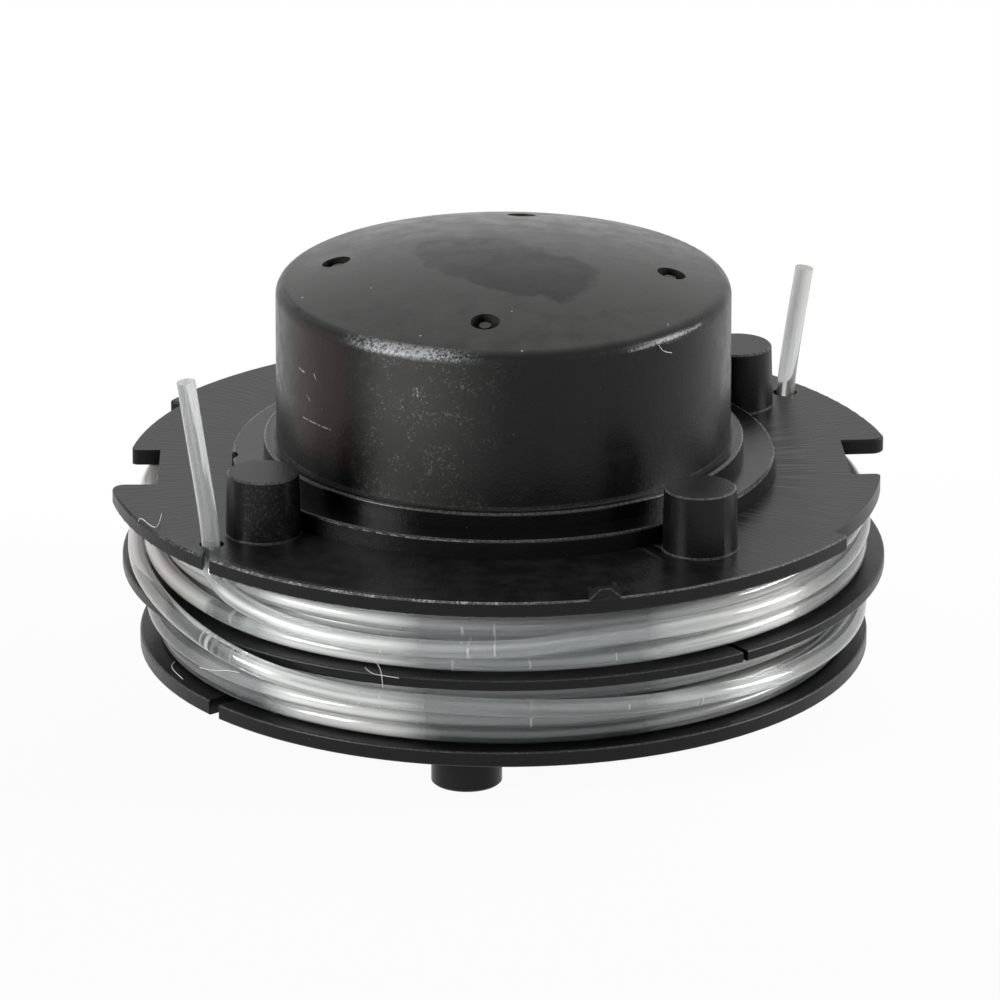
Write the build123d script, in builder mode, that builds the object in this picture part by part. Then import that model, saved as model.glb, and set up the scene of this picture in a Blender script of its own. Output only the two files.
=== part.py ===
from build123d import *
import os
from math import asin, cos, degrees, pi, radians, sin, sqrt, tan

os.makedirs("parts", exist_ok=True)

# Two-line feed spool of a grass trimmer head, in millimetres.
# The origin is on the spool's axis, in the plane of the lower pegs' ends, with the knob upwards.

# Trimmer line
line_diameter = 1.6
line_play = 0.25            # room around the line in its slot
winding_insets = {          # outer turns below the middle flange's rim, from the chamber's floor upwards
    "upper": (2.2, 2.2, 2.2),
    "lower": (3.4, 2.2, 2.2),
}
winding_play = 0.1          # room above a winding in its chamber

# Stack of flanges and chambers, from the lower pegs upwards
lower_peg_height = 3.15
bottom_flange_thickness = 1.35
lower_chamber_height = 6.0
middle_flange_thickness = 0.95
upper_chamber_height = 6.0
top_flange_thickness = 1.35
bottom_flange_radius = 31.35
middle_flange_radius = 32.8
top_flange_radius = 33.9
rim_edge_radius = 0.18

# Knob, collar and plateau on the top flange
knob_radius = 19.5
knob_height = 19.7          # crown above the top flange
crown_radius = 64.0         # sphere of the domed top
knob_edge_radius = 1.2
collar_step = 1.1
collar_height = 1.45
plateau_step = 2.7
plateau_height = 1.65
step_edge_radius = 0.25

# Hollow inside, open from below: the hub's bore up to a stop, then the spring's room with a centring ring
wall = 2.0
hub_stop_step = 0.6         # width of the shoulder that the hub meets
roof_thickness = 2.2
bore_chamfer = 0.6
spring_seat_radius = 8.0
spring_seat_wall = 1.4
spring_seat_height = 1.7

# Drive pegs, four above and four below
peg_count = 4
upper_peg_radius = 3.2      # at the foot
peg_overlap = 0.3           # upper pegs grow into the plateau's side by this much
peg_draft = 1.5             # degrees
upper_peg_height = 5.45
upper_peg_angle = 39.2
lower_peg_radius = 3.0
lower_peg_angle = -6.8
peg_edge_chamfer = 0.15

# Gate dimples in the crown, each with the broken stub of its gate
dimple_count = 4
dimple_angle = -6.2
dimple_inset = 5.1          # dimples in from the knob's side
dimple_radius = 1.25
dimple_depth = 0.85
gate_stub_radius = 0.5
gate_stub_height = 0.5

# Cut-outs of the top flange: two wide notches, a set-back stretch of rim beside each, two line slots
wide_notch_angles = (4.7, 180.1)
wide_notch_width = 8.7
wide_notch_depth = 4.3
tip_radius = 1.1
set_back = 1.5
set_back_end_angle = -30.4  # end of the set-back rim beside the first notch; the other is opposite
set_back_corner = 0.5
line_slot_angle = 38.4
line_slot_inset = 2.5       # middle of a slot's round end, in from the rim
line_slot_mouth = 0.7
line_slot_slant = 3.6       # degrees that a slot's mouth lies past its round end
line_slot_corner = 1.0

# Cut-outs of the other two flanges
middle_slit_angle = 128.4
middle_slit_width = 0.5
middle_slit_depth = 2.5
bottom_notch_width = 1.4
bottom_notch_depth = 2.8

# Small tab at the front rim and a nick in the plateau's edge
tab_angle = -75.4
tab_width = 2.9
tab_height = 1.05
tab_thickness = 0.8
tab_corner = 0.75
nick_angle = 183.7
nick_length = 1.6
nick_depth = 0.5

# Levels and radii that follow
bottom_face_z = lower_peg_height
lower_floor_z = bottom_face_z + bottom_flange_thickness
lower_roof_z = lower_floor_z + lower_chamber_height
upper_floor_z = lower_roof_z + middle_flange_thickness
upper_roof_z = upper_floor_z + upper_chamber_height
top_face_z = upper_roof_z + top_flange_thickness
plateau_z = top_face_z + plateau_height
collar_z = plateau_z + collar_height
crown_z = top_face_z + knob_height
crown_center_z = crown_z - crown_radius
roof_radius = crown_radius - roof_thickness
bore_radius = knob_radius - wall
room_radius = bore_radius - hub_stop_step
hub_stop_z = top_face_z + upper_peg_height
collar_radius = knob_radius + collar_step
plateau_radius = collar_radius + plateau_step
peg_circle_radius = plateau_radius + upper_peg_radius - peg_overlap
line_radius = line_diameter / 2
line_slot_radius = line_radius + line_play
set_back_ends = (set_back_end_angle, set_back_end_angle + 180)


def crown_height(radius, sphere_radius):
    return crown_center_z + sqrt(sphere_radius**2 - radius**2)


shoulder_z = crown_height(knob_radius, crown_radius)
room_end_z = crown_height(room_radius, roof_radius)


def rim_cut(angle, rim_radius, depth, width):
    with PolarLocations(rim_radius, 1, start_angle=angle):
        Rectangle(2 * depth, width, mode=Mode.SUBTRACT)


def outline_corner(sketch, radius, angle):
    corner = Vector(radius * cos(radians(angle)), radius * sin(radians(angle)))
    return sketch.vertices().sort_by_distance(corner)[0]


def drive_peg(foot_radius, height, draft):
    end_radius = foot_radius - height * tan(radians(draft))
    with BuildPart(mode=Mode.PRIVATE) as peg:
        with BuildSketch(Plane.XZ):
            with BuildLine():
                Polyline(
                    (0, 0),
                    (foot_radius, 0),
                    (end_radius, height - peg_edge_chamfer),
                    (end_radius - peg_edge_chamfer, height),
                    (0, height),
                    close=True,
                )
            make_face()
        revolve(axis=Axis.Z)
    return peg.part


# Spool body: a turned shell of knob, steps and drum, with three cut-out flanges, pegs and dimples
with BuildPart() as spool_body:
    with BuildSketch(Plane.XZ) as shell:
        with BuildLine():
            ThreePointArc(
                (0, crown_z),
                (knob_radius / 2, crown_height(knob_radius / 2, crown_radius)),
                (knob_radius, shoulder_z),
            )
            Polyline(
                (knob_radius, shoulder_z),
                (knob_radius, collar_z),
                (collar_radius, collar_z),
                (collar_radius, plateau_z),
                (plateau_radius, plateau_z),
                (plateau_radius, upper_roof_z),
                (knob_radius, upper_roof_z),
                (knob_radius, bottom_face_z),
                (bore_radius + bore_chamfer, bottom_face_z),
                (bore_radius, bottom_face_z + bore_chamfer),
                (bore_radius, hub_stop_z),
                (room_radius, hub_stop_z),
                (room_radius, room_end_z),
            )
            ThreePointArc(
                (room_radius, room_end_z),
                (room_radius / 2, crown_height(room_radius / 2, roof_radius)),
                (0, crown_z - roof_thickness),
            )
            Line((0, crown_z - roof_thickness), (0, crown_z))
        make_face()
        fillet(shell.vertices().sort_by_distance((knob_radius, shoulder_z))[0], knob_edge_radius)
        fillet(shell.vertices().sort_by_distance((collar_radius, collar_z))[0], step_edge_radius)
        fillet(shell.vertices().sort_by_distance((plateau_radius, plateau_z))[0], step_edge_radius)
    revolve(axis=Axis.Z)

    # Ring under the crown that centres the feed spring
    with BuildSketch(Plane.XY.offset(crown_height(spring_seat_radius, roof_radius) - spring_seat_height)):
        Circle(spring_seat_radius)
        Circle(spring_seat_radius - spring_seat_wall, mode=Mode.SUBTRACT)
    extrude(amount=spring_seat_height + roof_thickness / 2)

    # Top flange
    with BuildSketch(Plane.XY.offset(upper_roof_z)) as top_outline:
        Circle(top_flange_radius)
        Circle(bore_radius + wall / 2, mode=Mode.SUBTRACT)
        for angle, end_angle in zip(wide_notch_angles, set_back_ends):
            span = angle - end_angle
            with BuildLine():
                CenterArc((0, 0), top_flange_radius - set_back, end_angle, span)
                CenterArc((0, 0), top_flange_radius + set_back, end_angle, span)
                for end in (end_angle, angle):
                    inner = Vector(top_flange_radius - set_back, 0).rotate(Axis.Z, end)
                    outer = Vector(top_flange_radius + set_back, 0).rotate(Axis.Z, end)
                    Line(inner, outer)
            make_face(mode=Mode.SUBTRACT)
            rim_cut(angle, top_flange_radius, wide_notch_depth, wide_notch_width)
        with PolarLocations(top_flange_radius - line_slot_inset, 2, start_angle=line_slot_angle):
            Circle(line_slot_radius, mode=Mode.SUBTRACT)
        for angle in (line_slot_angle, line_slot_angle + 180):
            with BuildLine():
                Line(
                    Vector(top_flange_radius - line_slot_inset, 0).rotate(Axis.Z, angle),
                    Vector(top_flange_radius + line_slot_inset, 0).rotate(Axis.Z, angle + 2 * line_slot_slant),
                )
            trace(line_width=line_slot_mouth, mode=Mode.SUBTRACT)
        for angle, end_angle in zip(wide_notch_angles, set_back_ends):
            notch_edge = degrees(asin(wide_notch_width / 2 / top_flange_radius))
            fillet(outline_corner(top_outline, top_flange_radius, angle + notch_edge), tip_radius)
            fillet(outline_corner(top_outline, top_flange_radius - set_back, angle - notch_edge), set_back_corner)
            fillet(outline_corner(top_outline, top_flange_radius, end_angle), set_back_corner)
        for angle in (line_slot_angle, line_slot_angle + 180):
            fillet(outline_corner(top_outline, top_flange_radius, angle), line_slot_corner)
    extrude(amount=top_flange_thickness)

    # Middle flange
    with BuildSketch(Plane.XY.offset(lower_roof_z)):
        Circle(middle_flange_radius)
        Circle(bore_radius + wall / 2, mode=Mode.SUBTRACT)
        for angle in (middle_slit_angle, middle_slit_angle + 180):
            rim_cut(angle, middle_flange_radius, middle_slit_depth, middle_slit_width)
    extrude(amount=middle_flange_thickness)

    # Bottom flange
    with BuildSketch(Plane.XY.offset(bottom_face_z)):
        Circle(bottom_flange_radius)
        Circle(bore_radius + bore_chamfer + (wall - bore_chamfer) / 2, mode=Mode.SUBTRACT)
        for angle in (line_slot_angle, line_slot_angle + 180):
            rim_cut(angle, bottom_flange_radius, bottom_notch_depth, bottom_notch_width)
    extrude(amount=bottom_flange_thickness)

    # Rounded rims
    for rim_radius in (top_flange_radius, middle_flange_radius, bottom_flange_radius):
        rim_edges = spool_body.edges().filter_by(GeomType.CIRCLE).filter_by(
            lambda edge: abs(edge.radius - rim_radius) < rim_edge_radius / 10
        )
        fillet(rim_edges, rim_edge_radius)

    # Pegs above, with draft, and straight ones below
    with Locations((0, 0, top_face_z)):
        with PolarLocations(peg_circle_radius, peg_count, start_angle=upper_peg_angle):
            add(drive_peg(upper_peg_radius, upper_peg_height, peg_draft))
    with Locations((0, 0, bottom_face_z)):
        with PolarLocations(peg_circle_radius, peg_count, start_angle=lower_peg_angle):
            add(drive_peg(lower_peg_radius, lower_peg_height, 0), rotation=(180, 0, 0))

    # Gate dimples, square to the crown, with their stubs
    dimple_circle_radius = knob_radius - dimple_inset
    for i in range(dimple_count):
        turn = radians(dimple_angle + i * 360 / dimple_count)
        seat = Vector(
            dimple_circle_radius * cos(turn),
            dimple_circle_radius * sin(turn),
            crown_height(dimple_circle_radius, crown_radius),
        )
        face = Plane(origin=seat, z_dir=seat - Vector(0, 0, crown_center_z))
        with BuildSketch(face.offset(-dimple_depth)):
            Circle(dimple_radius)
            Circle(gate_stub_radius, mode=Mode.SUBTRACT)
        extrude(amount=2 * dimple_depth, mode=Mode.SUBTRACT)
        with BuildSketch(face.offset(gate_stub_height - dimple_depth)):
            Circle(2 * gate_stub_radius)
        extrude(amount=2 * dimple_depth, mode=Mode.SUBTRACT)

    # Tab on the front rim, with round upper corners
    with BuildSketch(Plane.XY.offset(top_face_z - rim_edge_radius)):
        with PolarLocations(top_flange_radius - rim_edge_radius - tab_thickness / 2, 1, start_angle=tab_angle):
            Rectangle(tab_thickness, tab_width)
    extrude(amount=rim_edge_radius + tab_height)
    tab_top = spool_body.faces(Select.LAST).filter_by(Axis.Z).sort_by(Axis.Z)[-1]
    fillet(tab_top.edges().sort_by(SortBy.LENGTH)[:2], tab_corner)

    # Nick in the plateau's edge
    with BuildSketch(Plane.XY.offset(plateau_z)):
        with PolarLocations(plateau_radius, 1, start_angle=nick_angle):
            Ellipse(nick_depth, nick_length / 2)
    extrude(amount=-plateau_height, mode=Mode.SUBTRACT)
spool_body.part.label = "spool_body"
export_step(spool_body.part, "parts/spool_body.step")

# Windings: each chamber's turns are one ring, with the outer layer's turns as ridges
def winding_outline(floor_z, chamber_height, insets):
    height = chamber_height - winding_play
    pitch = height / len(insets)
    below = (middle_flange_radius - insets[0] - line_radius, floor_z)
    Line((knob_radius, floor_z), below)
    for i, inset in enumerate(insets):
        level = floor_z + (i + 0.5) * pitch
        turn_radius = middle_flange_radius - inset
        valley_radius = turn_radius - line_radius
        Line(below, (valley_radius, level - line_radius))
        ThreePointArc(
            (valley_radius, level - line_radius),
            (turn_radius, level),
            (valley_radius, level + line_radius),
        )
        below = (valley_radius, level + line_radius)
    Polyline(below, (valley_radius, floor_z + height), (knob_radius, floor_z + height), (knob_radius, floor_z))


with BuildPart() as upper_winding:
    with BuildSketch(Plane.XZ):
        with BuildLine():
            winding_outline(upper_floor_z, upper_chamber_height, winding_insets["upper"])
        make_face()
    revolve(axis=Axis.Z)
upper_winding.part.label = "upper_winding"
export_step(upper_winding.part, "parts/upper_winding.step")

with BuildPart() as lower_winding:
    with BuildSketch(Plane.XZ):
        with BuildLine():
            winding_outline(lower_floor_z, lower_chamber_height, winding_insets["lower"])
        make_face()
    revolve(axis=Axis.Z)
lower_winding.part.label = "lower_winding"
export_step(lower_winding.part, "parts/lower_winding.step")

# Free ends of the two lines, from the cut end down to the outer turns.
# Each point is radius, angle and height above the top flange's upper face.
upper_line_route = [
    (33.2, 216.6, 14.6),
    (32.6, 217.3, 9.6),
    (31.9, 218.0, 4.4),
    (31.45, 218.4, 0.4),
    (31.55, 218.6, -2.2),
    (31.8, 221.2, -3.2),
    (31.9, 226.0, -4.0),
    (31.9, 234.0, -4.75),
    (31.9, 244.0, -5.1),
    (31.9, 256.0, -5.2),
]
lower_line_route = [
    (32.9, 37.1, 11.4),
    (32.1, 37.8, 6.0),
    (31.45, 38.4, 0.6),
    (31.55, 38.6, -2.2),
    (31.85, 41.4, -3.1),
    (32.0, 47.0, -3.7),
    (32.1, 56.0, -4.1),
    (32.2, 72.0, -4.4),
    (32.2, 92.0, -4.7),
    (32.2, 112.0, -5.0),
    (32.2, 132.0, -5.3),
    (32.1, 152.0, -5.7),
    (31.9, 172.0, -6.15),
    (31.95, 190.0, -6.4),
    (32.8, 205.0, -6.36),
    (33.9, 217.0, -6.75),
    (34.2, 227.0, -7.75),
    (33.85, 236.0, -8.7),
    (33.0, 247.0, -9.5),
    (31.9, 258.0, -10.0),
]


def route_points(route):
    return [
        Vector(radius * cos(radians(angle)), radius * sin(radians(angle)), top_face_z + height)
        for radius, angle, height in route
    ]


def route_radii(points):
    radii = []
    for before, corner, after in zip(points, points[1:], points[2:]):
        run_in = corner - before
        run_out = after - corner
        turn = radians(run_in.get_angle(run_out))
        radii.append(0.45 * min(run_in.length, run_out.length) / tan(turn / 2))
    return radii


def line_end(name, route):
    points = route_points(route)
    radii = route_radii(points)
    with BuildPart() as tube:
        with BuildLine() as path:
            FilletPolyline(*points, radius=radii)
        with BuildSketch(Plane(origin=path.line @ 0, z_dir=path.line % 0)):
            Circle(line_radius)
        sweep(path=path.line)
    tube.part.label = name
    export_step(tube.part, f"parts/{name}.step")
    length = path.wires()[0].length
    print(name, "length", round(length, 1), "radii", [round(radius, 1) for radius in radii])
    print(name, "volume over section times length", round(tube.part.volume / (pi * line_radius**2 * length), 4))


line_end("upper_line_end", upper_line_route)
line_end("lower_line_end", lower_line_route)
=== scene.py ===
import math
import bpy
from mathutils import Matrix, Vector


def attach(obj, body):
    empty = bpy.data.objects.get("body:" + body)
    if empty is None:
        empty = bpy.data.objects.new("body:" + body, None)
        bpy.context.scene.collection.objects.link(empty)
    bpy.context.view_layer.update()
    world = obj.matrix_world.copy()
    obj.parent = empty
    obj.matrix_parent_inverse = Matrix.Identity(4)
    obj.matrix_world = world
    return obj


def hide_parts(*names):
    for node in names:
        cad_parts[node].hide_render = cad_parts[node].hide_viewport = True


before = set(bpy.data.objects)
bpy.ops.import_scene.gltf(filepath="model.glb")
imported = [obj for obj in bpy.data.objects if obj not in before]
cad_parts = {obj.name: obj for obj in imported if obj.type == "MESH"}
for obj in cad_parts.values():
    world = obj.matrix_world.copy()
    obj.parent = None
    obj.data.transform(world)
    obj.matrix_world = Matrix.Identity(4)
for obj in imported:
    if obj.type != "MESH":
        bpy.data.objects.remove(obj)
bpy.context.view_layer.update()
mm = 0.001
topFace = 18.8  # height of the top flange's upper face, as in the part's source


# Shader maths: a signal is a socket that takes part in expressions
class Signal:
    def __init__(self, finish, socket):
        self.finish = finish
        self.socket = socket

    def __add__(self, other):
        return self.finish.maths("ADD", self, other)

    def __radd__(self, other):
        return self.finish.maths("ADD", other, self)

    def __sub__(self, other):
        return self.finish.maths("SUBTRACT", self, other)

    def __rsub__(self, other):
        return self.finish.maths("SUBTRACT", other, self)

    def __mul__(self, other):
        return self.finish.maths("MULTIPLY", self, other)

    def __rmul__(self, other):
        return self.finish.maths("MULTIPLY", other, self)

    def __truediv__(self, other):
        return self.finish.maths("DIVIDE", self, other)

    def __mod__(self, other):
        return self.finish.maths("FLOORED_MODULO", self, other)

    def __abs__(self):
        return self.finish.maths("ABSOLUTE", self)


class Finish:
    def __init__(self, name, kind="Material"):
        group = bpy.data.worlds if kind == "World" else bpy.data.materials
        self.material = group.new(name)
        self.material.use_nodes = True
        self.tree = self.material.node_tree
        self.tree.nodes.clear()
        self.sheet = self.tree.nodes.new("ShaderNodeOutput" + kind)

    def plug(self, socket, value):
        if isinstance(value, Signal):
            self.tree.links.new(value.socket, socket)
        else:
            socket.default_value = value

    def maths(self, operation, *values):
        made = self.tree.nodes.new("ShaderNodeMath")
        made.operation = operation
        for socket, value in zip(made.inputs, values):
            self.plug(socket, value)
        return Signal(self, made.outputs[0])

    # any other node: its settings first, then its sockets by name or number
    def node(self, kind, sockets=None, output=0, **settings):
        made = self.tree.nodes.new("ShaderNode" + kind)
        for name, value in settings.items():
            setattr(made, name, value)
        for name, value in (sockets or {}).items():
            self.plug(made.inputs[name], value)
        return Signal(self, made.outputs[output])

    def place(self):
        return self.node("TexCoord", output=3)

    # 1 for rays of that kind, such as Is Camera Ray
    def ray(self, kind):
        return Signal(self, self.node("LightPath").socket.node.outputs[kind])

    def axes(self, vector):
        split = self.node("SeparateXYZ", {0: vector})
        return [Signal(self, socket) for socket in split.socket.node.outputs]

    def join(self, x, y, z):
        return self.node("CombineXYZ", {0: x, 1: y, 2: z})

    def noise(self, vector, scale, detail=2.0, rough=0.5):
        sockets = {"Vector": vector, "Scale": scale, "Detail": detail, "Roughness": rough}
        return self.node("TexNoise", sockets)

    # 0 below low, 1 above high, smooth between
    def rise(self, value, low, high):
        sockets = {"Value": value, "From Min": low, "From Max": high}
        return self.node("MapRange", sockets, interpolation_type="SMOOTHSTEP")

    def length(self, x, y):
        return self.maths("SQRT", x * x + y * y)

    # x, y and z in millimetres, the distance from the axis, and the angle from the front in degrees
    def bearings(self):
        x, y, z = [axis * (1 / mm) for axis in self.axes(self.place())]
        turn = self.maths("ARCTAN2", x, 0 - y) * math.degrees(1)
        return x, y, z, self.length(x, y), turn

    # 1 within half of the middle, falling to 0 over soft
    def band(self, value, middle, half, soft):
        return self.rise(abs(value - middle), half + soft, half)

    def either(self, *shares):
        total = shares[0]
        for share in shares[1:]:
            total = self.maths("MAXIMUM", total, share)
        return total

    def blend(self, share, first, second):
        return self.node("Mix", {"Factor": share, 6: first, 7: second}, output=2, data_type="RGBA")

    def cover(self, surface):
        self.tree.links.new(surface.socket, self.sheet.inputs["Surface"])
        return self.material


# Black moulded plastic of the body, with wear at its edges, painted highlights and painted sheen; sizes in
# millimetres, angles in degrees from the front
blackPlastic = {
    "colour": (0.0030, 0.0030, 0.0032, 1),
    "stain": (0.0095, 0.0042, 0.0030, 1),
    "dustAndSheen": (0.20, 0.20, 0.19, 1),
    "fleckAndHighlight": (0.62, 0.65, 0.66, 1),
    "knobRoughness": 0.26,
    "flangeRoughness": 0.32,
    "ior": 1.30,
    "smudgeHalves": (9.5, 4.6),
    "smudgeLean": (0.745, 0.667),
    "smudgeForward": 3.2,
    "pegTurn": -50.8,
    "pegCircle": 26.2,
    "tab": {"turn": 14.6, "perDegree": 0.592, "height": 0.77, "halfFoot": 1.31, "slope": (0.659, 0.753)},
    "wallPerDegree": 0.34,
    # each from an angle and a height to another, with its width and depth
    "scratches": [
        (-60.8, 26.65, -48.5, 26.68, 0.08, 0.4),
        (-58.7, 28.84, -57.3, 28.45, 0.10, 0.4),
        (-55.4, 31.06, -54.5, 30.60, 0.10, 0.4),
        (-62.9, 30.84, -60.2, 30.76, 0.12, 0.4),
        (-21.9, 32.24, -21.8, 31.45, 0.09, 0.6),
        (-83.0, 28.86, -76.8, 27.32, 0.14, 0.4),
        (33.0, 34.90, 60.0, 35.10, 0.16, 0.3),
    ],
    # x, y and size
    "specks": [
        (-17.1, -5.3, 0.13), (-11.25, -6.4, 0.12), (-7.0, -15.8, 0.12),
        (0.7, -12.7, 0.10), (1.55, -18.6, 0.12), (13.9, -12.0, 0.11),
    ],
}


def makeBlackPlastic():
    f = Finish("blackPlastic")
    place = f.place()
    x, y, z, radius, turn = f.bearings()

    # parts of the body, as shares
    wall = f.band(radius, 19.5, 0.25, 0.15) * f.band(z, 28.1, 6.9, 0.4)
    crown = f.rise(z, 35.3, 35.9)
    knob = f.rise(radius, 19.9, 19.7) * f.rise(z, 21.9, 22.1)
    flange = f.band(z, topFace, 0.08, 0.08) * f.rise(radius, 23.3, 23.5)
    pegTurn = (turn + (45 - blackPlastic["pegTurn"])) % 90 - 45
    pegSide = radius * f.maths("SINE", pegTurn / math.degrees(1))
    pegOut = radius * f.maths("COSINE", pegTurn / math.degrees(1)) - blackPlastic["pegCircle"]
    pegRadius = f.length(pegSide, pegOut)

    # thin pale lines along the edges: part wear, part painted highlight
    pegRim = f.band(pegRadius, 3.0, 0.06, 0.05) * f.rise(z, 24.05, 24.15)
    topRim = f.band(radius, 33.8, 0.07, 0.06) * f.band(z, 18.72, 0.06, 0.06)
    middleRim = f.rise(radius, 32.6, 32.68) * f.band(z, 11.4, 0.04, 0.05)
    bottomEdges = f.either(f.band(z, 4.43, 0.05, 0.05), f.band(z, 3.2, 0.04, 0.05))
    bottomRim = f.rise(radius, 31.15, 31.22) * bottomEdges
    collarRim = f.band(radius, 20.5, 0.1, 0.08) * f.band(z, 21.83, 0.08, 0.06)
    plateauRim = f.band(radius, 23.2, 0.1, 0.08) * f.band(z, 20.38, 0.08, 0.06)
    foot = f.band(radius, 19.7, 0.2, 0.2) * f.band(z, 21.98, 0.08, 0.1)
    pegFoot = f.band(pegRadius, 3.24, 0.05, 0.05) * f.band(z, 18.85, 0.08, 0.08)

    # the rim's pale line, part wear and part painted highlight, climbs over the tab: how far inside its
    # sloping outline, seen from outside
    tab = blackPlastic["tab"]
    tabSide = abs(turn - tab["turn"]) * tab["perDegree"]
    tabHeight = z - topFace
    acrossSlope, downSlope = tab["slope"]
    tabFlank = (tab["halfFoot"] - tabSide) * acrossSlope - tabHeight * downSlope
    tabInside = f.maths("MINIMUM", tab["height"] - tabHeight, tabFlank)
    tabEdge = f.band(tabInside, 0, 0.04, 0.05) * f.rise(radius, 33.65, 33.75) * f.rise(tabHeight, -0.05, 0.05)
    # the top rim's line stops at the tab, and fades as painted shade towards the far left
    topRim = topRim * f.rise(tabSide, 1.25, 1.4) * (0.35 + f.rise(turn, -50, -36) * 0.65)

    # mottling, fine grit, and streaks down the knob
    cloud = f.noise(place, 110.0, 2.0, 0.55)
    mottle = f.noise(place, 480.0, 2.0, 0.65)
    grit = f.noise(place, 4200.0, 1.0, 0.7)
    streak = f.noise(f.join(turn * 1.3, z * 0.06, radius), 1.0, 2.0, 0.65)
    chips = f.rise(grit, 0.42, 0.64)
    leanAlong, leanAcross = blackPlastic["smudgeLean"]
    smudgeY = y + blackPlastic["smudgeForward"]
    longSide = x * leanAlong - smudgeY * leanAcross
    shortSide = x * leanAcross + smudgeY * leanAlong
    longHalf, shortHalf = blackPlastic["smudgeHalves"]
    reach = f.length(longSide / longHalf, shortSide / shortHalf) + (cloud - 0.5) * 1.5
    smudge = f.rise(reach + (mottle - 0.5) * 0.5, 1.08, 0.92) * crown
    flow = f.noise(f.join(turn * 1.6, radius * 0.22, 0), 1.0, 1.5, 0.65) * flange
    creases = f.rise(f.noise(f.join(turn * 1.0, radius * 0.14, 3), 1.0, 1.0, 0.6), 0.54, 0.64) * flange
    creases = creases * f.rise(radius, 28.5, 23.5) * f.band(turn, 72, 40, 12)
    # painted highlight: a lit band on the knob's front-left wall, brighter towards the top
    lit = f.rise(turn, -44, -28) * f.rise(turn, 6, -24) * (0.55 + f.rise(z, 23, 32) * 0.45)
    # painted glints down the left peg and over the knob's wall, and a painted sheen on the top flange's
    # front-left rim
    pegSkin = f.band(pegRadius, 3.1, 0.15, 0.1) * f.rise(z, 19.0, 19.4) * f.band(turn, -46, 2, 3)
    sparkle = f.rise(grit, 0.44, 0.74) * wall * (0.35 + f.rise(mottle, 0.40, 0.62) * 0.65)
    glint = f.rise(grit, 0.52, 0.7) * pegSkin
    rimSheen = f.rise(radius, 32.9, 33.6) * flange * f.band(turn, -34, 12, 14) * f.rise(grit, 0.44, 0.64)

    # painted highlight along the knob's front-left edge, speckled where that edge has wear
    edgeHighlight = f.band(turn, -25, 6, 16) * f.band(z, 35.25, 0.15, 0.5) * f.rise(radius, 18.4, 18.8)
    edgeHighlight = edgeHighlight * (0.08 + f.rise(grit + f.band(turn, -25, 4, 10) * 0.1, 0.40, 0.70) * 0.92)

    # single scratches on the knob's wall and specks on its crown
    perDegree = blackPlastic["wallPerDegree"]
    arc = turn * perDegree
    scratches = []
    for fromTurn, fromHeight, toTurn, toHeight, width, depth in blackPlastic["scratches"]:
        along, climb = (toTurn - fromTurn) * perDegree, toHeight - fromHeight
        length = along * along + climb * climb
        aside, above = arc - fromTurn * perDegree, z - fromHeight
        share = f.node("Clamp", {"Value": aside * (along / length) + above * (climb / length)})
        offSide, offHeight = aside - share * along, above - share * climb
        scratches.append(f.rise(offSide * offSide + offHeight * offHeight, width * width, 0) * depth)
    flecks = []
    for atX, atY, size in blackPlastic["specks"]:
        offX, offY = x - atX, y - atY
        flecks.append(f.rise(offX * offX + offY * offY, size * size, size * size * 0.25))
    scratches = f.either(*scratches) * wall * f.rise(grit, 0.36, 0.6)
    flecks = f.either(*flecks) * f.rise(z, 34.6, 34.9) * 0.4
    specks = f.rise(grit, 0.80, 0.85) * 0.35

    edges = f.either(topRim, middleRim * 0.4, bottomRim * 0.45, pegRim * 0.8, collarRim * 0.5,
                     plateauRim * 0.5, foot * 0.3, tabEdge * 0.8, pegFoot * 0.6)
    wearAndHighlight = edges * (0.32 + chips * 0.5)
    level = f.either(flange, f.rise(z, 24.15, 24.2) * (1 - knob))
    # a pale film on flat faces, the crown and the wall, mixed with painted highlights: the lit band and
    # glints on the knob's wall, glints on the left peg, and sheen on the top rim
    hazeAndSheen = f.either(level * f.rise(mottle, 0.35, 0.7) * 0.025, crown * (1 - smudge) * (0.03 + mottle * 0.20),
                    streak * wall * (0.02 + lit * 0.14), sparkle * (0.03 + lit * 0.82), creases * 0.24,
                    lit * wall * 0.25, glint * 0.12, rimSheen * 0.42)
    # painted highlight on the top rim's front-left, broken up by mottling
    shine = topRim * f.band(turn, -28, 24, 12) * f.rise(mottle, 0.36, 0.6) * (0.08 + chips * 0.5)
    stain = f.band(turn, -55, 9, 8) * wall * f.rise(z, 23, 25)
    colour = f.blend(stain, blackPlastic["colour"], blackPlastic["stain"])
    colour = f.blend(f.either(wearAndHighlight * 0.75, hazeAndSheen), colour, blackPlastic["dustAndSheen"])
    # pale specks, scratches and flecks, with painted highlights on the knob's front-left edge and on the top
    # rim's front-left
    marksAndHighlights = f.either(specks, scratches, flecks, edgeHighlight * 0.6, shine)
    colour = f.blend(marksAndHighlights, colour, blackPlastic["fleckAndHighlight"])
    steps = f.band(z, 21.2, 0.95, 0.1) * f.band(radius, 21.5, 1.75, 0.1)
    flangeRough, knobRough = blackPlastic["flangeRoughness"], blackPlastic["knobRoughness"]
    rough = flangeRough + knob * (knobRough - flangeRough)
    roughness = rough + f.rise(mottle, 0.3, 0.7) * (0.03 + knob * 0.07) + wearAndHighlight * 0.2 - steps * 0.12
    height = grit * (0.8 - crown * 0.45) + flow * 1.2
    bump = f.node("Bump", {"Strength": 0.5, "Distance": 0.00004, "Height": height})
    surface = f.node("BsdfPrincipled", {
        "Base Color": colour,
        "Roughness": roughness,
        "IOR": blackPlastic["ior"],
        "Normal": bump,
    })
    return f.cover(surface)
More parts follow.
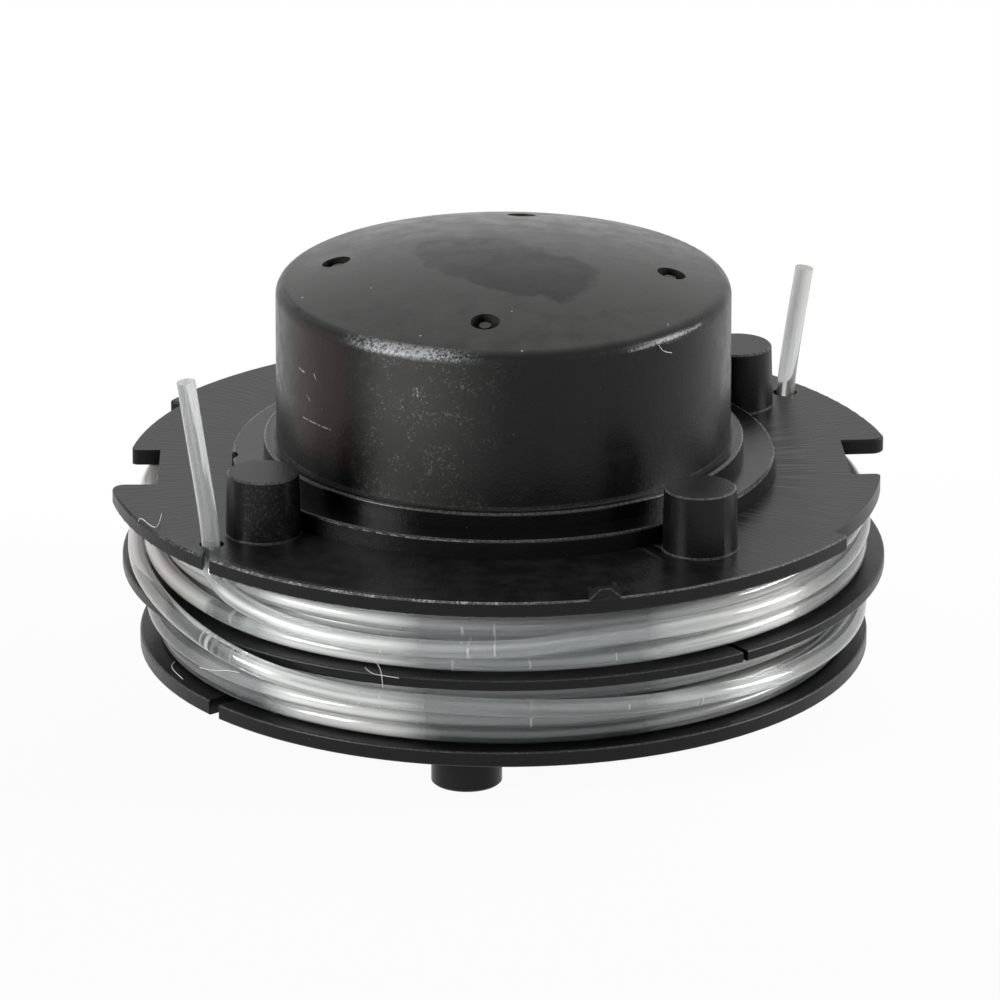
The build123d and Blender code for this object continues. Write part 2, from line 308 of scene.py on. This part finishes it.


# Clear nylon of the lines, a little milky, drawn out along each strand, with short ticks across the turns,
# painted highlights where the lamps catch the turns and painted shade in the depths and at the sides
clearNylon = {
    "clear": (0.95, 0.97, 0.965, 1),
    "milky": (0.78, 0.82, 0.815, 1),
    "warmSideShade": (0.52, 0.505, 0.485, 1),
    "shade": (0.30, 0.30, 0.30, 1),
    "white": (0.90, 0.90, 0.885, 1),
    "milkShare": (0.14, 0.34),
    "roughness": (0.13, 0.22),
    "ior": 1.53,
    "clearShade": (0.45, 0.47, 0.47, 1),
    "hiddenShade": (0.20, 0.225, 0.225, 1),
    # angle, half width and whiteness
    "lowerKinks": [
        (-47.5, 0.25, 0.4), (-46.2, 0.4, 0.55), (-43.4, 0.4, 0.25), (-41.5, 0.35, 0.35), (-39.3, 0.25, 0.35),
        (-38.6, 0.25, 0.35), (-37.0, 0.7, 0.5),
    ],
    "upperKinks": [(-51.8, 0.4, 0.25), (-47.4, 0.6, 0.35), (-46.0, 0.3, 0.25)],
    # angle, and the heights between which it runs
    "ticks": [
        (-21.3, -10.8, -9.0), (-18.3, -10.6, -7.6), (-6.4, -4.3, -3.2), (-1.4, -4.0, -2.9),
        (-7.9, -7.2, -6.1), (-1.3, -5.2, -4.3), (-5.3, -5.5, -4.6), (-18.5, -5.7, -4.9),
        (-20.6, -4.9, -4.0), (4.1, -6.8, -6.2), (17.6, -6.6, -6.0), (19.1, -10.7, -10.3),
        (4.3, -12.3, -10.8), (31.5, -11.7, -10.9),
    ],
}


def makeClearNylon():
    f = Finish("clearNylon")
    z, radius, turn = f.bearings()[2:]
    height = z - topFace

    # the strand's own coordinates: along it, and round its section
    along, around = f.axes(f.node("TexCoord", output=2))[:2]
    ring = around * (2 * math.pi)
    section = f.join(f.maths("COSINE", ring) * 1.1, f.maths("SINE", ring) * 1.1, along * 110)
    drawn = f.noise(section, 1.0, 1.5, 0.45)
    ticks = []
    for atTurn, low, high in clearNylon["ticks"]:
        tall = f.band(height, (low + high) / 2, (high - low) / 2, 0.1)
        ticks.append(f.band(turn, atTurn, 0.1, 0.12) * tall)
    ticks = f.either(*ticks) * 0.5

    # kinks where the lower line comes over the middle flange, and in the strand above it
    lowerStrand = f.rise(radius, 32.5, 32.8)
    upperStrand = f.band(height, -5.6, 0.8, 0.3) * (1 - lowerStrand)
    kinked = f.either(f.band(turn, -43, 5, 1.5) * lowerStrand, f.band(turn, -49, 3, 2) * upperStrand)
    kinks = []
    for strand, rings in ((lowerStrand, clearNylon["lowerKinks"]), (upperStrand, clearNylon["upperKinks"])):
        bands = [f.band(turn, atTurn, half * 0.3, half * 1.4) * level for atTurn, half, level in rings]
        kinks.append(f.either(*bands) * strand)

    # painted highlights where the lamps catch the turns: at the front left, on the strand coming off the
    # upper turns, and on the right side
    upperOuter = f.rise(radius, 31.2, 31.6) * f.rise(height, -8, -7) * (1 - lowerStrand)
    rightHighlight = f.band(turn, 38, 9, 12) * (0.65 + f.rise(height, -8, -7) * 0.35)
    lampHighlights = f.either(f.band(turn, -27, 7, 13), f.band(turn, -38, 7, 6) * upperOuter, rightHighlight)
    lampHighlights = lampHighlights * (0.3 + f.rise(drawn, 0.32, 0.68) * 0.6)
    bright = f.either(ticks, *kinks, lampHighlights)
    standing = f.rise(height, -1.5, 0.5)
    left = f.rise(turn, -46, -64)
    right = f.rise(turn, 50, 66)
    # the hidden inner turns are opaque, painted dark grey as shade
    inner = f.rise(radius, 29.1, 28.7)
    # painted shade: the deepest strands, the far left and right, the kinked stretch and the lower chamber go
    # darker and cloudier
    shadeShare = f.either(f.rise(height, -12.2, -13.6), left * f.rise(height, -7.6, -8.4), right * 0.8, kinked,
                    f.rise(turn, -38, -43) * lowerStrand * 0.85, f.rise(height, -8, -9) * 0.4)
    shadeShare = shadeShare * (1 - standing)
    # painted sheen: milkier towards the strands' grazing sides
    edge = f.rise(f.node("LayerWeight", {"Blend": 0.5}, output=1), 0.5, 0.85)
    low, high = clearNylon["roughness"]
    roughness = (low + (high - low) * f.rise(drawn, 0.35, 0.7)) * (1 - kinked * 0.5)
    bump = f.node("Bump", {"Strength": 0.04, "Distance": 0.00004, "Height": drawn})
    clear = f.node("BsdfPrincipled", {
        "Base Color": f.blend(shadeShare * 0.85, clearNylon["clear"], clearNylon["clearShade"]),
        "Roughness": roughness,
        "Transmission Weight": 1.0,
        "IOR": clearNylon["ior"],
        "Normal": bump,
    })
    # painted shade: the milky colour darker and warmer-toned at the far left and right
    milk = f.blend(f.either(left, f.rise(turn, 25, 50)), clearNylon["milky"], clearNylon["warmSideShade"])
    milk = f.blend(shadeShare * 0.7, milk, clearNylon["shade"])
    milk = f.blend(bright, milk, clearNylon["white"])
    milky = f.node("BsdfPrincipled", {
        "Base Color": f.blend(inner, milk, clearNylon["hiddenShade"]),
        "Roughness": roughness,
        "IOR": clearNylon["ior"],
        "Normal": bump,
    })
    # the milky share: streaky, higher at the upper left as painted light, lower in painted shade
    low, high = clearNylon["milkShare"]
    streaky = f.rise(drawn, 0.32, 0.70)
    share = (low + (high - low) * streaky + left * (1 - lowerStrand) * 0.35) * (1 - shadeShare * 0.7)
    share = f.either(share, standing * (0.24 + streaky * 0.3), edge * 0.4, bright * (1 - standing), inner)
    return f.cover(f.node("MixShader", {0: share, 1: clear, 2: milky}))


bodyMaterial = makeBlackPlastic()
lineMaterial = makeClearNylon()
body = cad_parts["spool_body"]
body.data.materials.clear()
body.data.materials.append(bodyMaterial)
print("materials are made")


# Lines: each point is radius, angle and height above the top flange, in millimetres and degrees
line = {
    "diameter": 1.6,
    "sides": 6,
    "steps": 6,
    "stepAngle": 15.0,
    "hubRadius": 20.4,
    "layerRise": 1.39,
    "layerShift": 0.8,
    "turnsAcross": 3,
    "innerRadius": 28.8,
    "upperChamber": (-7.35, -1.35),
    "lowerChamber": (-14.3, -8.3),
}
# the curve passes inside its points by this share
inward = (1 + math.cos(math.radians(line["stepAngle"]))) / 2
upperLineRoute = [
    (33.2, 216.6, 14.6),
    (32.6, 217.3, 9.6),
    (31.9, 218.0, 4.4),
    (31.45, 218.4, 0.4),
    (31.55, 218.6, -2.2),
    (31.8, 221.2, -3.2),
    (31.9, 226.0, -4.0),
    (31.9, 234.0, -4.75),
    (31.9, 244.0, -5.1),
    (31.9, 256.0, -5.2),
]
upperOuterTurns = [
    (31.7, 271, -4.9), (31.5, 286, -4.15), (31.4, 306, -4.25), (31.2, 322, -4.4), (30.6, 350, -4.3),
    (30.2, 380, -4.3), (30.0, 450, -4.3), (29.9, 510, -4.4), (29.9, 540, -4.9), (30.2, 555, -5.5),
    (30.4, 566, -5.75), (30.4, 574, -6.0), (30.3, 582, -6.4), (30.3, 595, -6.5), (30.3, 631, -6.5),
    (30.3, 680, -6.4), (30.2, 740, -6.4), (30.1, 800, -6.3), (29.3, 840, -5.5), (29.0, 870, -4.4),
    (29.6, 900, -3.3), (30.2, 930, -3.1), (30.25, 991, -3.4), (30.25, 1040, -3.2), (30.25, 1110, -2.7),
    (30.25, 1200, -2.5), (30.25, 1270, -2.2), (30.0, 1351, -2.15), (29.6, 1420, -2.2),
    (28.9, 1480, -2.4),
]
lowerLineRoute = [
    (32.9, 37.1, 11.4),
    (32.1, 37.8, 6.0),
    (31.45, 38.4, 0.6),
    (31.55, 38.6, -2.2),
    (31.85, 41.4, -3.1),
    (32.0, 47.0, -3.7),
    (32.1, 56.0, -4.1),
    (32.2, 72.0, -4.4),
    (32.2, 92.0, -4.7),
    (32.2, 112.0, -5.0),
    (32.2, 132.0, -5.3),
    (32.1, 152.0, -5.7),
    (31.9, 172.0, -6.15),
    (31.95, 190.0, -6.4),
    (32.8, 205.0, -6.36),
    (33.9, 217.0, -6.75),
    (34.2, 227.0, -7.75),
    (33.85, 236.0, -8.7),
    (33.0, 247.0, -9.5),
    (31.9, 258.0, -10.0),
]
lowerOuterTurns = [
    (31.5, 271, -10.15), (31.3, 286, -10.6), (31.1, 306, -11.0), (30.9, 320, -11.5),
    (30.4, 345, -11.7), (30.0, 380, -11.6), (30.0, 450, -11.6), (29.7, 540, -11.7), (29.9, 600, -11.7),
    (30.0, 631, -11.6), (29.7, 650, -11.8), (29.2, 666, -12.1), (29.0, 690, -12.2), (28.6, 760, -12.6),
    (28.3, 820, -13.3), (28.1, 870, -13.5), (28.1, 920, -13.5), (28.3, 950, -13.5), (28.9, 991, -13.5),
    (28.8, 1015, -13.5), (28.6, 1040, -13.5), (28.5, 1080, -13.4), (28.3, 1130, -13.0),
    (28.3, 1180, -11.8), (28.8, 1220, -10.4), (29.5, 1260, -9.35), (30.0, 1300, -9.15),
    (30.1, 1400, -9.15), (29.6, 1480, -9.2), (28.9, 1540, -9.4),
]


def spot(radius, angle, height):
    turn = math.radians(angle)
    return Vector((radius * math.cos(turn), radius * math.sin(turn), topFace + height)) * mm


# in between the keys of the outer turns, in even steps
def evenTurns(keys):
    places = []
    angle = keys[0][1]
    while angle < keys[-1][1]:
        for before, after in zip(keys, keys[1:]):
            if before[1] <= angle < after[1]:
                share = (angle - before[1]) / (after[1] - before[1])
                ease = share * share * (3 - 2 * share)
                radius = before[0] + (after[0] - before[0]) * ease
                height = before[2] + (after[2] - before[2]) * ease
                places.append((radius / inward, angle, height))
        angle += line["stepAngle"]
    return places


# the hidden layers, from under the outer turns down to the hub
def innerTurns(angle, floor, roof):
    places = []
    across, aside = line["turnsAcross"], line["layerShift"]
    layers = int((line["innerRadius"] - line["hubRadius"]) / line["layerRise"])
    low = floor + line["diameter"] / 2
    high = roof - line["diameter"] / 2
    perTurn = int(360 / line["stepAngle"])
    for layer in range(layers + 1):
        radius = line["innerRadius"] - layer * line["layerRise"]
        shift = aside if layer % 2 else 0.0
        levels = [low + shift + turn * (high - low - aside) / (across - 1) for turn in range(across)]
        if layer % 2 == 0:
            levels.reverse()
        for level in levels:
            for step in range(perTurn):
                angle += line["stepAngle"]
                places.append((radius / inward, angle, level))
    return places


# one piece of round strands, each along its run of points
def makeStrands(name, settings, runs, material):
    shape = bpy.data.curves.new(name, "CURVE")
    shape.dimensions = "3D"
    shape.bevel_depth = settings["diameter"] / 2 * mm
    shape.bevel_resolution = settings["sides"]
    shape.resolution_u = settings["steps"]
    shape.use_fill_caps = True
    for places in runs:
        run = shape.splines.new("NURBS")
        run.points.add(len(places) - 1)
        for point, place in zip(run.points, places):
            point.co = (*place, 1)
        run.order_u = 3
        run.use_endpoint_u = True
    piece = bpy.data.objects.new(name, shape)
    bpy.context.scene.collection.objects.link(piece)
    shape.materials.append(material)
    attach(piece, "root")
    return piece


def makeLine(name, places, nodes):
    piece = makeStrands(name, line, [[spot(*place) for place in reversed(places)]], lineMaterial)
    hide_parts(*nodes)
    length = piece.data.splines[0].calc_length()
    print(name, "has", len(places), "points and is", round(length, 3), "m long")
    return piece, length


upperPlaces = upperLineRoute + evenTurns(upperOuterTurns)
upperPlaces += innerTurns(upperOuterTurns[-1][1], *line["upperChamber"])
upperLine, upperLength = makeLine("upperLine", upperPlaces, ["upper_winding", "upper_line_end"])
lowerPlaces = lowerLineRoute + evenTurns(lowerOuterTurns)
lowerPlaces += innerTurns(lowerOuterTurns[-1][1], *line["lowerChamber"])
lowerLine, lowerLength = makeLine("lowerLine", lowerPlaces, ["lower_winding", "lower_line_end"])
for piece, places, length in ((upperLine, upperPlaces, upperLength), (lowerLine, lowerPlaces, lowerLength)):
    tuple(spot(*places[-1]))
print("lines are wound")


# Lint caught on the spool: each fibre's points in millimetres, heights from the top flange
lint = {
    "diameter": 0.06,
    "sides": 1,
    "steps": 6,
    "colour": (0.80, 0.79, 0.78, 1),
    "roughness": 0.7,
    "fibres": [
        [(-30.9, -13.9, -0.3), (-31.0, -13.3, 0.08), (-30.6, -13.5, 0.1), (-30.05, -14.9, 0.1),
         (-29.4, -16.0, 0.12), (-29.1, -14.6, 0.25), (-29.0, -13.3, 0.5)],
        [(-11.28, -30.91, -5.95), (-10.91, -31.04, -5.99), (-10.46, -31.19, -6.48),
         (-10.16, -31.29, -7.17), (-10.09, -31.32, -8.52)],
        [(-11.58, -30.79, -6.87), (-11.13, -30.96, -7.37), (-10.08, -31.32, -7.4), (-8.74, -31.72, -7.48)],
        [(-25.8, -17.18, -11.99), (-24.59, -18.88, -11.67), (-23.09, -20.69, -10.9),
         (-22.35, -21.48, -10.85)],
        [(-28.14, -9.83, -14.2), (-28.41, -10.88, -14.15), (-28.15, -12.14, -14.2), (-27.31, -14.08, -14.2)],
        [(12.9, -14.2, 16.3), (13.2, -14.6, 15.8), (13.6, -14.5, 15.4), (14.2, -14.1, 15.2)],
    ],
}


def makeLint():
    f = Finish("lintFibre")
    f.cover(f.node("BsdfPrincipled", {"Base Color": lint["colour"], "Roughness": lint["roughness"]}))
    runs = [[(x * mm, y * mm, (topFace + height) * mm) for x, y, height in fibre] for fibre in lint["fibres"]]
    makeStrands("lint", lint, runs, f.material)


makeLint()
print("lint is laid")

# Stage: pale floor, soft light and the photograph's camera
stage = {
    "floorSize": 6.0,
    "floorNear": (0.42, 0.42, 0.42, 1),
    "floorFar": (0.92, 0.92, 0.92, 1),
    "floorFade": (-0.06, 0.06),
    "floorGlow": {"Is Camera Ray": 0.95, "Is Transmission Ray": 0.86, "Is Glossy Ray": 0.95},
    "worldGlow": {"Is Camera Ray": 1.0, "Is Transmission Ray": 1.0, "Is Glossy Ray": 1.0},
    "frontLevel": 0.08,
    "backLevel": 1.3,
    "fade": (-0.5, 0.55),
    "zenithFade": (0.2, 1.0),
    "zenithLoss": 0.3,
    "leftFade": (-0.7, -0.92),
    "leftLoss": 0.65,
    "lampAim": (0, 0, 0.02),
    # name, place, size and power in watts
    "lamps": [
        ("leftLight", (-0.82, -0.47, 0.36), (0.34, 0.5), 9.5),
        ("rightLight", (0.92, 0.02, 0.36), (0.34, 0.34), 9),
    ],
}


def makeFloor():
    bpy.ops.object.select_all(action="DESELECT")
    bpy.ops.mesh.primitive_plane_add(size=stage["floorSize"], location=(0, 0, 0))
    floor = bpy.context.object
    floor.name = "floor"
    f = Finish("paleFloor")
    x, y = f.axes(f.place())[:2]
    # painted shade: the floor's colour darker towards the front left
    lighter = f.rise(x * 0.5 + y, *stage["floorFade"])
    matte = f.node("BsdfDiffuse", {"Color": f.blend(lighter, stage["floorNear"], stage["floorFar"])})
    white = f.node("Emission", {"Color": (1, 1, 1, 1), "Strength": 1.0})
    glow = f.either(*[f.ray(kind) * share for kind, share in stage["floorGlow"].items()])
    f.cover(f.node("MixShader", {0: glow, 1: matte, 2: white}))
    floor.data.materials.append(f.material)


# diffuse light is brightest low at the back; what is seen, mirrored or seen through is plain white
def makeWorld():
    f = Finish("studio", "World")
    across, ahead, up = f.axes(f.node("TexCoord"))
    front, back = stage["frontLevel"], stage["backLevel"]
    level = front + (back - front) * f.rise(ahead, *stage["fade"])
    level = level * (1 - f.rise(up, *stage["zenithFade"]) * stage["zenithLoss"])
    level = level * (1 - f.rise(across, *stage["leftFade"]) * stage["leftLoss"])
    soft = f.node("Background", {"Color": (1, 1, 1, 1), "Strength": level})
    white = f.node("Background", {"Color": (1, 1, 1, 1), "Strength": 1.0})
    seen = f.either(*[f.ray(kind) * share for kind, share in stage["worldGlow"].items()])
    bpy.context.scene.world = f.cover(f.node("MixShader", {0: seen, 1: soft, 2: white}))


def makeLamp(name, place, size, power):
    data = bpy.data.lights.new(name, "AREA")
    data.shape = "RECTANGLE"
    data.size, data.size_y = size
    data.energy = power
    lamp = bpy.data.objects.new(name, data)
    bpy.context.scene.collection.objects.link(lamp)
    lamp.location = place
    lamp.rotation_euler = (Vector(stage["lampAim"]) - Vector(place)).to_track_quat("-Z", "Y").to_euler()
    lamp.visible_camera = False


camera = {
    "distance": 1.0,
    "elevation": 19.56,
    "target": (0, 0, 0.0188),
    "aim": (-0.0003, 0, 0.01576),
    "sensor": 36,
    "lens": 418.95,
}


def makeCamera():
    data = bpy.data.cameras.new("photoCamera")
    data.sensor_width = camera["sensor"]
    data.lens = camera["lens"]
    data.clip_start = 0.01
    data.clip_end = 50
    view = bpy.data.objects.new("photoCamera", data)
    bpy.context.scene.collection.objects.link(view)
    tilt = math.radians(camera["elevation"])
    back = Vector((0, -math.cos(tilt), math.sin(tilt)))
    view.location = Vector(camera["target"]) + back * camera["distance"]
    look = Vector(camera["aim"]) - view.location
    view.rotation_euler = look.to_track_quat("-Z", "Y").to_euler()
    bpy.context.scene.camera = view


makeFloor()
makeWorld()
for lamp in stage["lamps"]:
    makeLamp(*lamp)
makeCamera()
bpy.context.scene.view_settings.view_transform = "Standard"
print("stage is set")
